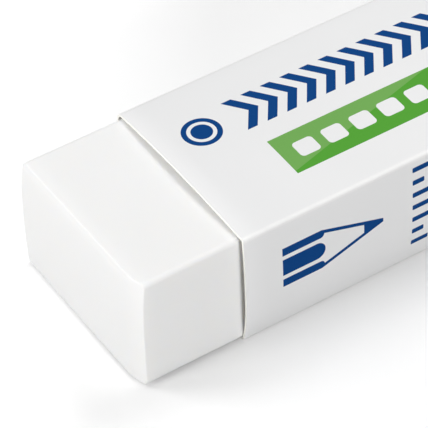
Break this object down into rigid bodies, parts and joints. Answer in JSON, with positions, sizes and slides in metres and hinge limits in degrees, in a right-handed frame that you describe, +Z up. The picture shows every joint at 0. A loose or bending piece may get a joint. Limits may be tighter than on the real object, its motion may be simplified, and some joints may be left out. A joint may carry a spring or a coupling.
{
  "type": "rubber eraser",
  "caption": "Oblong white rubber block with rounded edges that slides lengthways in a folded card sleeve, one end bare, for rubbing out pencil.",
  "frame": {"origin": "centre of the overall outline, on the surface that the sleeve lies on", "axes": "+X along the block, away from its bare end; +Y across it, towards the sleeve's glued panel; +Z up"},
  "size_m": [0.065, 0.0228, 0.014],
  "materials": {
    "white_rubber": "matte, smooth",
    "coated_card": "coated, slightly glossy"
  },
  "bodies": {
    "sleeve": {"sleeve": "coated_card"},
    "block": {"block": "white_rubber"}
  },
  "joints": [
    {"name": "block_slide", "type": "slide", "parent": "sleeve", "child": "block", "axis": [-1, 0, 0], "range_m": [-0.0115, 0.055]}
  ]
}
